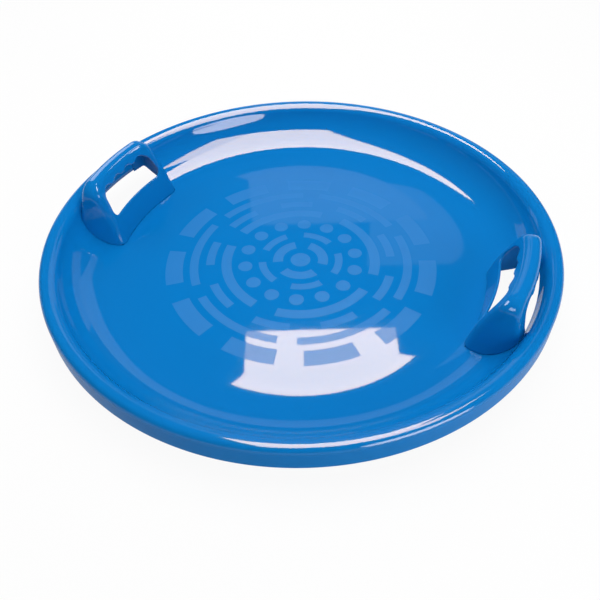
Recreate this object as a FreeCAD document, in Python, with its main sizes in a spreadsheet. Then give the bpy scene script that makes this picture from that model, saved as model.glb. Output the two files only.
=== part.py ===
import FreeCAD, Part
import math
import os

import Sketcher

# Saucer sled: a round moulded dish with a rolled rim, and two hollow hand grips that plug into it.
# Millimetres and degrees. +Z is up and the origin is on the dish's axis, in the plane of its underside.
# The rider faces +Y, so the grips stand on the X axis, one at each hand.

# Driving dimensions. Heights are measured from the dish's underside, radii from its axis.
SIZES = {
    # Dish
    "rim_radius": 300.0,        # outside of the skirt
    "rim_height": 56.0,         # top of the rolled rim
    "crown_radius": 14.0,       # inner side of the rolled rim, up to its crest
    "lip_radius": 6.0,          # outer side of the rolled rim, from its crest over to the skirt
    "skirt_depth": 28.0,        # hang of the skirt below the rim's top
    "wall_width": 115.0,        # from the flat floor's edge out to the skirt
    "easing_radius": 260.0,     # gentle curve where the floor starts to rise
    "wall_radius": 55.0,        # tighter curve of the wall
    "dish_wall": 3.0,           # thickness of the moulding
    # Handle, as its outer form
    "foot_gap": 13.0,           # outboard face at the underside plane, in from the skirt
    "foot_width": 63.0,         # foot at the underside plane, from its inboard to its outboard face
    "inner_lean_deg": 7.0,      # lean of the inboard face from upright, at the underside plane
    "inner_curve": 206.0,       # bulge of the inboard face, which leans more as it rises
    "grip_width": 14.5,         # top of the grip, before its edges are rounded
    "inner_round_share": 0.83,  # rounding of the inboard long edges, in grip widths
    "outer_round_share": 0.48,  # rounding of the outboard long edges, in grip widths
    "nose_inset": 25.0,         # upright axis that the rounded ends turn about, in from the outboard face
    "nose_radius": 79.0,        # rounded ends at the underside plane, from their own axis
    "end_lean_deg": 12.0,       # lean of the ends
    "handle_height": 84.0,      # top of the grip
    "knee_radius": 20.0,        # bend from each foot into the grip
    "handle_sweep_deg": 60.0,   # angle about the dish's axis that holds the whole handle
    "handle_wall": 3.0,         # thickness of the moulding
    "collar_inset": 1.5,        # step from the outer face in to the collar
    "seat_clearance": 0.3,      # gap between handle and dish
    # Hand opening
    "grip_depth": 15.0,         # grip from its top to the lands between the fingers
    "opening_height": 30.0,     # hand opening from the lands down to the sill
    "leg_width": 29.0,          # from the rounded ends in to the opening, at the opening's mid height
    "opening_round": 9.0,       # corners of the opening
    "finger_pitch_share": 0.46,  # spacing of the finger waves, in half lengths of the opening
    "finger_radius": 13.0,      # curve of one finger wave
    "finger_depth": 3.0,        # rise of a wave above the lands
    "reach_width": 30.0,        # outboard part with nothing under the grip, in from the outboard face
    "rib_thickness": 2.4,       # stiffening ribs inside the grip
    "rib_rise": 2.0,            # lower edge of the ribs above the lands
    # Tools
    "overrun": 5.0,             # how far cutting shapes run past what they cut
}

# Sizes that follow from those, as formulas.
DERIVED = {
    "floor_radius": "rim_radius - wall_width",
    "skirt_bottom": "rim_height - skirt_depth",
    "crest_radius": "rim_radius - lip_radius",
    "foot_outer_radius": "rim_radius - foot_gap",
    "foot_inner_radius": "foot_outer_radius - foot_width",
    "nose_axis": "foot_outer_radius - nose_inset",
    "reach_radius": "foot_outer_radius - reach_width",
    # Centre of the inboard face's curve
    "bulge_across": "foot_inner_radius + inner_curve * cos(inner_lean_deg)",
    "bulge_up": "-inner_curve * sin(inner_lean_deg)",
    # The outboard face leans from its foot to the grip's outboard edge.
    "grip_inner_radius": "bulge_across - sqrt(inner_curve ^ 2 - (handle_height - bulge_up) ^ 2)",
    "outer_slope": "(foot_outer_radius - grip_inner_radius - grip_width) / handle_height",
    "outer_stretch": "sqrt(1 + outer_slope ^ 2)",
    "inner_round": "grip_width * inner_round_share",
    "outer_round": "grip_width * outer_round_share",
    "grip_underside": "handle_height - grip_depth",
    "sill_height": "grip_underside - opening_height",
    "opening_half_length": "nose_radius - leg_width",
    "finger_pitch": "opening_half_length * finger_pitch_share",
}
FINGERS = 4                     # finger waves on each lower edge of the grip

# Points of a sketch's line or arc
START, END, CENTRE = range(1, 4)

doc = FreeCAD.newDocument("saucer_sled")
sheet = doc.addObject("Spreadsheet::Sheet", "Sizes")
cells = {alias: str(value) for alias, value in SIZES.items()}
cells.update({alias: f"={formula}" for alias, formula in DERIVED.items()})
for row, (alias, content) in enumerate(cells.items(), start=1):
    sheet.set(f"A{row}", alias)
    sheet.set(f"B{row}", content)
    sheet.setAlias(f"B{row}", alias)
    doc.recompute()


def size(alias):
    """One driving dimension, as a number."""
    return float(sheet.get(alias))


def bound(text):
    """An expression in the sheet's names: each name in braces becomes a reference to its cell."""
    return text.replace("{", "Sizes.").replace("}", "")


def worth(text):
    """The value of such an expression, for a sketch's first guess."""
    probe.setExpression("Placement.Base.x", bound(text))
    doc.recompute([probe])
    return probe.Placement.Base.x


class Outline:
    """A closed chain of lines and arcs in a sketch on one of a body's own planes."""

    def __init__(self, body, name, role):
        self.sketch = body.newObject("Sketcher::SketchObject", name)
        plane = next(item for item in body.Origin.OriginFeatures if item.Role == role)
        self.sketch.AttachmentSupport = [(plane, "")]
        self.sketch.MapMode = "FlatFace"
        self.ends = []

    def line(self, start, end):
        """Add a line; returns its number."""
        edge = Part.LineSegment(FreeCAD.Vector(*start), FreeCAD.Vector(*end))
        self.ends.append((self.sketch.addGeometry(edge), START, END))
        return self.ends[-1][0]

    def arc(self, centre, start, end, turn):
        """Add an arc from start to end, anticlockwise if turn is 1 and clockwise if it is -1."""
        reach = math.dist(centre, start)
        first, last = (start, end) if turn > 0 else (end, start)
        angles = [math.atan2(p[1] - centre[1], p[0] - centre[0]) for p in (first, last)]
        circle = Part.Circle(FreeCAD.Vector(*centre), FreeCAD.Vector(0, 0, 1), reach)
        number = self.sketch.addGeometry(Part.ArcOfCircle(circle, *angles))
        self.ends.append((number, START, END) if turn > 0 else (number, END, START))
        return number

    def close(self, smooth, first=0):
        """Join the chain from edge number first on, tangent after each edge listed in smooth."""
        chain = self.ends[first:]
        for (one, _, tail), (two, head, _) in zip(chain, chain[1:] + chain[:1]):
            kind = "Tangent" if one in smooth else "Coincident"
            self.sketch.addConstraint(Sketcher.Constraint(kind, one, tail, two, head))

    def fix(self, kind, *where):
        """Add a constraint that has no size."""
        self.sketch.addConstraint(Sketcher.Constraint(kind, *where))

    def measure(self, kind, *where, by):
        """Add a size that is bound to an expression of the sheet."""
        first = math.radians(worth(by)) if kind == "Angle" else worth(by)
        number = self.sketch.addConstraint(Sketcher.Constraint(kind, *where, first))
        self.sketch.setExpression(f"Constraints[{number}]", bound(by))

    def place(self, edge, end, across=None, up=None):
        """Fix a point's distance from the sketch's origin, along one or both of its axes."""
        if across is not None:
            self.measure("DistanceX", -1, START, edge, end, by=across)
        if up is not None:
            self.measure("DistanceY", -1, START, edge, end, by=up)


def dish_curve(lift):
    """Points and centres of the dish's upper surface, raised by lift along its own normal.

    Returns the ends of the floor, the easing curve and the wall curve, and the three arc centres.
    """
    floor = size("floor_radius")
    easing, wall, crown = size("easing_radius"), size("wall_radius"), size("crown_radius")
    ease_centre = (floor, size("dish_wall") + easing)
    crown_centre = (size("crest_radius"), size("rim_height") - crown)
    # The wall's arc touches the easing curve from inside and the crown from outside.
    span = math.dist(ease_centre, crown_centre)
    near, far = easing - wall, wall + crown
    along = (near**2 - far**2 + span**2) / (2 * span)
    aside = math.sqrt(near**2 - along**2)
    ahead = [(b - a) / span for a, b in zip(ease_centre, crown_centre)]
    wall_centre = (ease_centre[0] + along * ahead[0] + aside * ahead[1],
                   ease_centre[1] + along * ahead[1] - aside * ahead[0])

    def towards(origin, target, reach):
        gap = math.dist(origin, target)
        return tuple(a + (b - a) * reach / gap for a, b in zip(origin, target))

    floor_end = (floor, size("dish_wall") + lift)
    ease_end = towards(ease_centre, wall_centre, easing - lift)
    wall_end = towards(wall_centre, crown_centre, wall - lift)
    return floor_end, ease_end, wall_end, ease_centre, wall_centre, crown_centre


def check_sketch(outline):
    """Stop if a sketch is not fully fixed by its sizes."""
    if outline.sketch.solve() != 0 or outline.sketch.FullyConstrained is False:
        raise RuntimeError(f"{outline.sketch.Label} is not fully defined")


def revolve(body, outline, angle=None):
    """Turn an outline about the body's upright axis, fully or through a sheet angle centred on it."""
    turned = body.newObject("PartDesign::Revolution", f"{body.Name}_turned")
    turned.Profile = outline.sketch
    turned.ReferenceAxis = (outline.sketch, ["V_Axis"])
    turned.Angle = 360.0
    if angle:
        turned.Midplane = True
        turned.setExpression("Angle", bound(angle))
    doc.recompute()
    return turned


def make_dish_pan():
    """The dish before its openings: one thickness of material, turned about the axis."""
    body = doc.addObject("PartDesign::Body", "dish_pan")
    thick = size("dish_wall")
    floor_end, ease_end, wall_end, ease_centre, wall_centre, crown_centre = dish_curve(0)
    floor_under, ease_under, wall_under = dish_curve(-thick)[:3]
    rim, skirt, peak = size("rim_radius"), size("skirt_bottom"), size("rim_height")
    crest, crest_under = (crown_centre[0], peak), (crown_centre[0], peak - thick)
    lip_centre = (crown_centre[0], peak - size("lip_radius"))

    pan = Outline(body, "dish_section", "XZ_Plane")
    floor = pan.line((0, thick), floor_end)
    easing = pan.arc(ease_centre, floor_end, ease_end, 1)
    wall = pan.arc(wall_centre, ease_end, wall_end, 1)
    crown = pan.arc(crown_centre, wall_end, crest, -1)
    lip = pan.arc(lip_centre, crest, (rim, lip_centre[1]), -1)
    skirt_out = pan.line((rim, lip_centre[1]), (rim, skirt))
    skirt_edge = pan.line((rim, skirt), (rim - thick, skirt))
    skirt_in = pan.line((rim - thick, skirt), (rim - thick, lip_centre[1]))
    lip_in = pan.arc(lip_centre, (rim - thick, lip_centre[1]), crest_under, 1)
    crown_in = pan.arc(crown_centre, crest_under, wall_under, 1)
    wall_out = pan.arc(wall_centre, wall_under, ease_under, -1)
    easing_out = pan.arc(ease_centre, ease_under, floor_under, -1)
    sole = pan.line(floor_under, (0, 0))
    axis = pan.line((0, 0), (0, thick))
    pan.close(smooth=(floor, easing, wall, crown, lip, skirt_in, lip_in, crown_in, wall_out, easing_out))
    for inside, outside in ((easing, easing_out), (wall, wall_out), (crown, crown_in), (lip, lip_in)):
        pan.fix("Coincident", inside, CENTRE, outside, CENTRE)
    for edge in (floor, skirt_edge, sole):
        pan.fix("Horizontal", edge)
    for edge in (skirt_out, skirt_in, axis):
        pan.fix("Vertical", edge)
    pan.fix("Coincident", axis, START, -1, START)
    pan.place(floor, END, across="{floor_radius}", up="{dish_wall}")
    pan.measure("Radius", easing, by="{easing_radius}")
    pan.measure("Radius", wall, by="{wall_radius}")
    pan.measure("Radius", crown, by="{crown_radius}")
    pan.measure("Radius", lip, by="{lip_radius}")
    pan.place(skirt_out, END, across="{rim_radius}", up="{skirt_bottom}")
    pan.place(crown, CENTRE, across="{crest_radius}", up="{rim_height} - {crown_radius}")
    check_sketch(pan)
    revolve(body, pan)
    return body


def make_dish_fill(name, lift):
    """Everything under the dish's upper surface out to the rim's crest.

    The surface is raised along its own normal by lift, an expression of the sheet.
    """
    body = doc.addObject("PartDesign::Body", name)
    floor_end, ease_end, wall_end, ease_centre, wall_centre, crown_centre = dish_curve(worth(lift))
    crest = (crown_centre[0], crown_centre[1] + size("crown_radius") + worth(lift))
    below = -size("overrun")

    fill = Outline(body, f"{name}_section", "XZ_Plane")
    floor = fill.line((0, floor_end[1]), floor_end)
    easing = fill.arc(ease_centre, floor_end, ease_end, 1)
    wall = fill.arc(wall_centre, ease_end, wall_end, 1)
    crown = fill.arc(crown_centre, wall_end, crest, -1)
    outside = fill.line(crest, (crest[0], below))
    base = fill.line((crest[0], below), (0, below))
    axis = fill.line((0, below), (0, floor_end[1]))
    fill.close(smooth=(floor, easing, wall))
    for edge in (floor, base):
        fill.fix("Horizontal", edge)
    for edge in (outside, axis):
        fill.fix("Vertical", edge)
    fill.place(axis, START, across="0", up="-{overrun}")
    fill.place(floor, END, across="{floor_radius}", up=f"{{dish_wall}} + ({lift})")
    fill.measure("Radius", easing, by=f"{{easing_radius}} - ({lift})")
    fill.measure("Radius", wall, by=f"{{wall_radius}} - ({lift})")
    fill.measure("Radius", crown, by=f"{{crown_radius}} + ({lift})")
    fill.place(crown, CENTRE, across="{crest_radius}", up="{rim_height} - {crown_radius}")
    fill.place(outside, START, across="{crest_radius}")
    check_sketch(fill)
    revolve(body, fill)
    return body


def make_handle_form(name, inset):
    """The handle's outer form, drawn in on every side by an expression of the sheet.

    A leaning section turned about the dish's axis, trimmed by an arch that is turned about an upright
    axis of its own, with its long edges rounded.
    """
    body = doc.addObject("PartDesign::Body", name)
    top = "{handle_height} + {overrun}"
    outer_foot = f"{{foot_outer_radius}} - ({inset}) * {{outer_stretch}}"
    outer_top = f"{outer_foot} - ({top}) * {{outer_slope}}"
    bulge = f"{{inner_curve}} - ({inset})"

    section = Outline(body, f"{name}_section", "XZ_Plane")
    centre = (size("bulge_across"), size("bulge_up"))

    def inboard(height):
        return (centre[0] - math.sqrt(worth(bulge)**2 - (height - centre[1])**2), height)

    sole = section.line(inboard(0), (worth(outer_foot), 0))
    outside = section.line((worth(outer_foot), 0), (worth(outer_top), worth(top)))
    roof = section.line((worth(outer_top), worth(top)), inboard(worth(top)))
    inside = section.arc(centre, inboard(worth(top)), inboard(0), 1)
    section.close(smooth=())
    section.fix("Horizontal", roof)
    section.fix("PointOnObject", sole, START, -1)
    section.fix("PointOnObject", sole, END, -1)
    section.place(sole, END, across=outer_foot)
    section.place(roof, START, across=outer_top, up=top)
    section.place(inside, CENTRE, across="{bulge_across}", up="{bulge_up}")
    section.measure("Radius", inside, by=bulge)
    check_sketch(section)
    revolve(body, section, angle="{handle_sweep_deg}")

    # The arch is turned about an upright axis of its own, so that the ends are round noses. What lies
    # outside the arch is grooved away.
    knee = f"{{knee_radius}} - ({inset})"
    crown = f"{{handle_height}} - ({inset})"
    nose = f"{{nose_axis}} + {{nose_radius}} - ({inset}) / cos({{end_lean_deg}})"
    nose = f"{nose} + {{overrun}} * tan({{end_lean_deg}})"
    rim = "{nose_axis} + {rim_radius}"
    lean = math.radians(size("end_lean_deg"))
    hub, bend, peak, low = size("nose_axis"), worth(knee), worth(crown), -size("overrun")
    side_up = peak - bend + bend * math.sin(lean)
    side = (worth(nose) - (side_up - low) * math.tan(lean), side_up)
    turn_in = side[0] - bend * math.cos(lean)

    arch = Outline(body, f"{name}_arch", "XZ_Plane")
    leg = arch.line((worth(nose), low), side)
    bent = arch.arc((turn_in, peak - bend), side, (turn_in, peak), 1)
    ridge = arch.line((turn_in, peak), (hub, peak))
    spine = arch.line((hub, peak), (hub, worth(top)))
    lid = arch.line((hub, worth(top)), (worth(rim), worth(top)))
    outer = arch.line((worth(rim), worth(top)), (worth(rim), low))
    base = arch.line((worth(rim), low), (worth(nose), low))
    arch.close(smooth=(leg, bent))
    for edge in (ridge, lid, base):
        arch.fix("Horizontal", edge)
    for edge in (spine, outer):
        arch.fix("Vertical", edge)
    arch.measure("Radius", bent, by=knee)
    arch.measure("Angle", leg, by="90 + {end_lean_deg}")
    arch.place(leg, START, across=nose, up="-{overrun}")
    arch.place(spine, START, across="{nose_axis}", up=crown)
    arch.place(outer, START, across=rim, up=top)
    line = Part.LineSegment(FreeCAD.Vector(hub, peak, 0), FreeCAD.Vector(hub, worth(top), 0))
    axis = arch.sketch.addGeometry(line, True)
    arch.fix("Coincident", axis, START, spine, START)
    arch.fix("Coincident", axis, END, spine, END)
    check_sketch(arch)
    before = body.Shape.Volume
    trimmed = body.newObject("PartDesign::Groove", f"{name}_trimmed")
    trimmed.Profile = arch.sketch
    trimmed.ReferenceAxis = (arch.sketch, ["Axis0"])
    trimmed.Angle = 360.0
    doc.recompute()
    if body.Shape.Volume >= before:
        raise RuntimeError(f"{name} was not trimmed to its arch")

    # Long edges: where the inboard face, a torus, or the outboard face, a cone, meets the arch. Those two
    # faces are turned about the dish's axis and the arch's own faces are not.
    rounded = trimmed
    for side, surface in (("inner", Part.Toroid), ("outer", Part.Cone)):
        long_edges = []
        for number, edge in enumerate(rounded.Shape.Edges, start=1):
            faces = [face.Surface for face in rounded.Shape.ancestorsOfType(edge, Part.Face)]
            central = [isinstance(face, surface) and abs(face.Center.x) < size("overrun") for face in faces]
            if central.count(True) == 1 and edge.BoundBox.ZMax > size("overrun"):
                long_edges.append(f"Edge{number}")
        fillet = body.newObject("PartDesign::Fillet", f"{name}_{side}_round")
        fillet.Base = (rounded, long_edges)
        fillet.setExpression("Radius", bound(f"{{{side}_round}} - ({inset})"))
        doc.recompute()
        rounded = fillet
    return body


def make_opening():
    """The cutter for the hand opening.

    A slot with leaning ends, a row of finger waves along its top, and a deep outboard part, where the
    opening goes down through the dish so that the fingers can close round the grip.
    """
    body = doc.addObject("PartDesign::Body", "opening")
    low, high = size("sill_height"), size("grip_underside")
    lean, corner = math.radians(size("end_lean_deg")), size("opening_round")
    middle = (low + high) / 2
    shift = (high - low) / 2 * math.tan(lean)
    half = size("opening_half_length")
    # Distances from each sharp corner to where its rounding starts.
    trim_low = corner / math.tan((math.pi / 2 - lean) / 2)
    trim_high = corner / math.tan((math.pi / 2 + lean) / 2)
    wide, narrow = half + shift, half - shift
    up = (-math.sin(lean), math.cos(lean))
    low_side = (wide + trim_low * up[0], low + trim_low * up[1])
    high_side = (narrow - trim_high * up[0], high - trim_high * up[1])

    def flip(point):
        return (-point[0], point[1])

    slot = Outline(body, "opening_outline", "YZ_Plane")
    right = slot.line(low_side, high_side)
    right_top = slot.arc((narrow - trim_high, high - corner), high_side, (narrow - trim_high, high), 1)
    roof = slot.line((narrow - trim_high, high), flip((narrow - trim_high, high)))
    left_top = slot.arc(flip((narrow - trim_high, high - corner)), flip((narrow - trim_high, high)),
                        flip(high_side), 1)
    left = slot.line(flip(high_side), flip(low_side))
    left_low = slot.arc(flip((wide - trim_low, low + corner)), flip(low_side),
                        flip((wide - trim_low, low)), 1)
    sill = slot.line(flip((wide - trim_low, low)), (wide - trim_low, low))
    right_low = slot.arc((wide - trim_low, low + corner), (wide - trim_low, low), low_side, 1)
    slot.close(smooth=(right, right_top, roof, left_top, left, left_low, sill, right_low))
    slot.fix("Horizontal", sill)
    slot.fix("Symmetric", roof, START, roof, END, -2)
    for other in (right_top, left_top, left_low):
        slot.fix("Equal", right_low, other)
    slot.measure("Radius", right_low, by="{opening_round}")
    slot.place(roof, START, up="{grip_underside}")
    slot.place(sill, START, up="{sill_height}")
    slot.measure("Angle", right, by="90 + {end_lean_deg}")
    slot.measure("Angle", left, by="-90 - {end_lean_deg}")
    slot.sketch.addGeometry(Part.Point(FreeCAD.Vector(half, middle, 0)), True)
    mark = slot.sketch.GeometryCount - 1
    slot.fix("PointOnObject", mark, START, right)
    slot.place(mark, START, across="{opening_half_length}", up="({sill_height} + {grip_underside}) / 2")
    check_sketch(slot)
    through = body.newObject("PartDesign::Pad", "opening_slot")
    through.Profile = slot.sketch
    through.setExpression("Length", bound("{rim_radius} + {overrun}"))
    doc.recompute()

    deep = Outline(body, "reach_outline", "XZ_Plane")
    near, far = size("reach_radius"), size("rim_radius") + size("overrun")
    corners = [(near, -size("overrun")), (far, -size("overrun")), (far, middle), (near, middle)]
    sides = [deep.line(a, b) for a, b in zip(corners, corners[1:] + corners[:1])]
    deep.close(smooth=())
    for level, upright in zip(sides[0::2], sides[1::2]):
        deep.fix("Horizontal", level)
        deep.fix("Vertical", upright)
    deep.place(sides[0], START, across="{reach_radius}", up="-{overrun}")
    deep.place(sides[2], START, across="{rim_radius} + {overrun}",
               up="({sill_height} + {grip_underside}) / 2")
    check_sketch(deep)
    reach = body.newObject("PartDesign::Pad", "opening_reach")
    reach.Profile = deep.sketch
    reach.SideType = "Symmetric"
    reach.setExpression("Length", bound("2 * {opening_half_length}"))
    doc.recompute()

    wave = Outline(body, "finger_outline", "YZ_Plane")
    first = -(FINGERS - 1) / 2
    centre = FreeCAD.Vector(first * size("finger_pitch"),
                            size("grip_underside") + size("finger_depth") - size("finger_radius"), 0)
    ring = wave.sketch.addGeometry(Part.Circle(centre, FreeCAD.Vector(0, 0, 1), size("finger_radius")))
    wave.measure("Radius", ring, by="{finger_radius}")
    wave.place(ring, CENTRE, across=f"{first} * {{finger_pitch}}",
               up="{grip_underside} + {finger_depth} - {finger_radius}")
    check_sketch(wave)
    finger = body.newObject("PartDesign::Pad", "finger_wave")
    finger.Profile = wave.sketch
    finger.setExpression("Length", bound("{rim_radius} + {overrun}"))
    doc.recompute()
    fingers = body.newObject("PartDesign::LinearPattern", "finger_waves")
    fingers.Originals = [finger]
    fingers.Direction = (wave.sketch, ["H_Axis"])
    fingers.Occurrences = FINGERS
    fingers.setExpression("Length", bound(f"{FINGERS - 1} * {{finger_pitch}}"))
    body.Tip = fingers
    doc.recompute()
    return body


def make_rib_blanks():
    """Upright plates across the grip, one behind each land between two fingers."""
    body = doc.addObject("PartDesign::Body", "rib_blanks")
    first = -(FINGERS - 2) / 2
    near = first * size("finger_pitch") - size("rib_thickness") / 2
    far = near + size("rib_thickness")
    low, high = size("grip_underside") + size("rib_rise"), size("handle_height")
    plate = Outline(body, "rib_outline", "YZ_Plane")
    corners = [(near, low), (far, low), (far, high), (near, high)]
    sides = [plate.line(a, b) for a, b in zip(corners, corners[1:] + corners[:1])]
    plate.close(smooth=())
    for level, upright in zip(sides[0::2], sides[1::2]):
        plate.fix("Horizontal", level)
        plate.fix("Vertical", upright)
    plate.place(sides[0], START, across=f"{first} * {{finger_pitch}} - {{rib_thickness}} / 2",
                up="{grip_underside} + {rib_rise}")
    plate.measure("DistanceX", sides[0], START, sides[0], END, by="{rib_thickness}")
    plate.place(sides[2], START, up="{handle_height}")
    check_sketch(plate)
    rib = body.newObject("PartDesign::Pad", "rib")
    rib.Profile = plate.sketch
    rib.setExpression("Length", bound("{rim_radius}"))
    doc.recompute()
    ribs = body.newObject("PartDesign::LinearPattern", "ribs")
    ribs.Originals = [rib]
    ribs.Direction = (plate.sketch, ["H_Axis"])
    ribs.Occurrences = FINGERS - 1
    ribs.setExpression("Length", bound(f"{FINGERS - 2} * {{finger_pitch}}"))
    body.Tip = ribs
    doc.recompute()
    return body


def combine(kind, name, base, tool):
    """A boolean of two objects: Cut, Fuse or Common."""
    result = doc.addObject(f"Part::{kind}", name)
    result.Base = base
    result.Tool = tool
    doc.recompute()
    return result


def mirror(name, source):
    """The same moulding on the other side of the dish."""
    result = doc.addObject("Part::Mirroring", name)
    result.Source = source
    result.Normal = FreeCAD.Vector(1, 0, 0)
    doc.recompute()
    return result


def make_handle():
    """The right handle: a hollow form with a stepped foot, a hand opening and ribs under the grip."""
    outer = make_handle_form("handle_outer", "0")
    collar = make_handle_form("handle_collar", "{collar_inset}")
    hollow = make_handle_form("handle_hollow", "{handle_wall}")
    web = make_handle_form("handle_web", "{handle_wall} / 2")
    above = make_dish_fill("dish_seat", "{seat_clearance}")
    below = make_dish_fill("dish_under", "-{dish_wall}")
    shell = combine("Cut", "handle_shell", outer, hollow)
    # Outside the collar the foot stops on the dish. The collar goes on down to the dish's underside.
    seat = combine("Cut", "handle_seat", above, collar)
    seated = combine("Cut", "handle_seated", shell, seat)
    flush = combine("Cut", "handle_flush", seated, below)
    opened = combine("Cut", "handle_opened", flush, make_opening())
    ribs = combine("Common", "handle_ribs", make_rib_blanks(), web)
    return combine("Fuse", "right_handle", opened, ribs)


def make_dish():
    """The dish, opened on both sides for the collars of the two handles."""
    pan = make_dish_pan()
    right_hole = make_handle_form("collar_hole", "{collar_inset} - {seat_clearance}")
    one = combine("Cut", "dish_one_hole", pan, right_hole)
    return combine("Cut", "dish", one, mirror("collar_hole_left", right_hole))


probe = doc.addObject("Part::Box", "probe")
dish = make_dish()
right_handle = make_handle()
left_handle = mirror("left_handle", right_handle)
doc.removeObject(probe.Name)
doc.recompute()

faults = [item.Label for item in doc.Objects if {"Invalid", "Error"} & set(item.State)]
pieces = (dish, right_handle, left_handle)
faults += [piece.Label for piece in pieces if piece.Shape.isNull() or not piece.Shape.isValid()]
faults += [piece.Label for piece in pieces if len(piece.Shape.Solids) != 1]
if faults:
    raise RuntimeError("failed: " + ", ".join(faults))
os.makedirs("parts", exist_ok=True)
for piece in pieces:
    print(piece.Label, "volume", round(piece.Shape.Volume), "box", piece.Shape.BoundBox)
    piece.Shape.exportStep(f"parts/{piece.Label}.step")
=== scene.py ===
import logging
import math
from dataclasses import dataclass
from enum import Enum
from typing import Callable, Optional, Union

import bpy
import numpy as np
from mathutils import Matrix, Vector


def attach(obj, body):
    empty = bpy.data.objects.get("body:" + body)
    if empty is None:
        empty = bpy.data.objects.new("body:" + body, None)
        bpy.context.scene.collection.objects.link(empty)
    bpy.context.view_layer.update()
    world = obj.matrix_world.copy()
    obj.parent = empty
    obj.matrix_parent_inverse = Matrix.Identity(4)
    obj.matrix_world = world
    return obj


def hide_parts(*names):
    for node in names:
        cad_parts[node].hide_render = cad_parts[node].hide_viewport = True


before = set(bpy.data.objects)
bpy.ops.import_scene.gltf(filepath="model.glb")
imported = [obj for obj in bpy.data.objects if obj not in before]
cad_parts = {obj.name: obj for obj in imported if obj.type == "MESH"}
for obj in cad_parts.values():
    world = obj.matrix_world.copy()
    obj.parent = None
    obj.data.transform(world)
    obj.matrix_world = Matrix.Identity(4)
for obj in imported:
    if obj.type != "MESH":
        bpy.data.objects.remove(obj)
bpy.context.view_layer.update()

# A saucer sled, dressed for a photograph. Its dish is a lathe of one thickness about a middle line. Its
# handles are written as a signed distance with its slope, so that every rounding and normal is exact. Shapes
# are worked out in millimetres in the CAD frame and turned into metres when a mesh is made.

LOG = logging.getLogger("saucer_sled")
MM = 0.001
# A length in millimetres that is as good as none
TINY = 1e-6
# Cosine from which two directions count as the same
PARALLEL = 0.999
ALONG = (0.0, 1.0, 0.0)
UP = (0.0, 0.0, 1.0)
DOWN = (0.0, 0.0, -1.0)
INBOARD = (-1.0, 0.0, 0.0)
# Point attribute of the handles: 1 where they are polished
POLISH = "polish"
# Sockets of a Mix node for colours, whose names repeat
MIX_FACTOR, MIX_FIRST, MIX_SECOND, MIX_RESULT = 0, 6, 7, 2

Number = Union[int, float]
Triple = tuple[float, float, float]
Array = np.ndarray
Pair = tuple[Array, Array]


# Shapes as signed distances

@dataclass
class Field:
    """Signed distances to one shape at many points, negative inside, with their slopes.

    Args:
        value: Distance at each point, in millimetres.
        slope: Unit slope of the distance at each point, one row of three per point.
    """

    value: Array
    slope: Array

    def __neg__(self) -> "Field":
        """Return the space outside the shape."""
        return Field(-self.value, -self.slope)

    def inset(self, depth: Number) -> "Field":
        """Return the shape drawn in by a depth on every side, or grown where the depth is negative."""
        return Field(self.value + depth, self.slope)

    def meet(self, other: "Field", rounding: Number = 0.0) -> "Field":
        """Return what both shapes share, with the edge between them rounded.

        Args:
            other: The second shape, at the same points.
            rounding: Radius of the rounded edge.

        Returns:
            The common shape.
        """
        first, second = self.value + rounding, other.value + rounding
        lean = np.clip(np.einsum("ij,ij->i", self.slope, other.slope), -PARALLEL, PARALLEL)
        spread = 1.0 - lean**2
        along_first = (first - lean * second) / spread
        along_second = (second - lean * first) / spread
        at_edge = (along_first > 0) & (along_second > 0)
        squared = along_first**2 + along_second**2 + 2 * along_first * along_second * lean
        reach = np.sqrt(np.maximum(squared, TINY**2))
        mixed = (along_first[:, None] * self.slope + along_second[:, None] * other.slope) / reach[:, None]
        ahead = first > second
        value = np.where(at_edge, reach, np.where(ahead, first, second)) - rounding
        slope = np.where(at_edge[:, None], mixed, np.where(ahead[:, None], self.slope, other.slope))
        return Field(value, slope)

    def less(self, other: "Field", rounding: Number = 0.0) -> "Field":
        """Return this shape with another cut out of it and the edges of the cut rounded."""
        return self.meet(-other, rounding)

    def join(self, other: "Field", rounding: Number = 0.0) -> "Field":
        """Return both shapes together, with a fillet between them."""
        return -((-self).meet(-other, rounding))


Shape = Callable[[Array], Field]


def spokes(arms: Array) -> Pair:
    """Return the length of each row, and each row's direction as a unit row."""
    reach = np.maximum(np.linalg.norm(arms, axis=1), TINY)
    return reach, arms / reach[:, None]


def turned(points: Array, axis_x: Number) -> Pair:
    """Return distances from an upright axis that stands on the X axis, and unit rows away from it."""
    return spokes(points * (1.0, 1.0, 0.0) - (axis_x, 0.0, 0.0))


def lifted(value: Array, slope: Array, outward: Array) -> Field:
    """Return a section's field, whose slopes are along the radius and Z, carried round its axis."""
    across, up = np.broadcast_to(slope, (len(value), 2)).T
    return Field(value, across[:, None] * outward + up[:, None] * np.array(UP))


def plane(points: Array, normal: Triple, offset: Number) -> Field:
    """Return the half space below a plane with an outward normal and its offset along it."""
    direction = np.array(normal)
    return Field(points @ direction - offset, np.broadcast_to(direction, points.shape))


def slab(across: Array, half: Number) -> Field:
    """Return the space that lies within half a thickness of an upright plane, across it along Y."""
    side = np.where(across < 0, -1.0, 1.0)
    return Field(np.abs(across) - half, side[:, None] * np.array(ALONG))


def cone(points: Array, axis_x: Number, radius: Number, lean: Number) -> Field:
    """Return the inside of a leaning flank that is turned about an upright axis.

    Args:
        points: Rows of x, y, z.
        axis_x: Where the axis stands on the X axis.
        radius: The flank's radius at the floor.
        lean: How far it leans in, in radians.

    Returns:
        The space inside.
    """
    reach, outward = turned(points, axis_x)
    slope = np.array([math.cos(lean), math.sin(lean)])
    return lifted((reach - radius) * slope[0] + points[:, 2] * slope[1], slope, outward)


# Driving sizes, in millimetres and degrees

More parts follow.
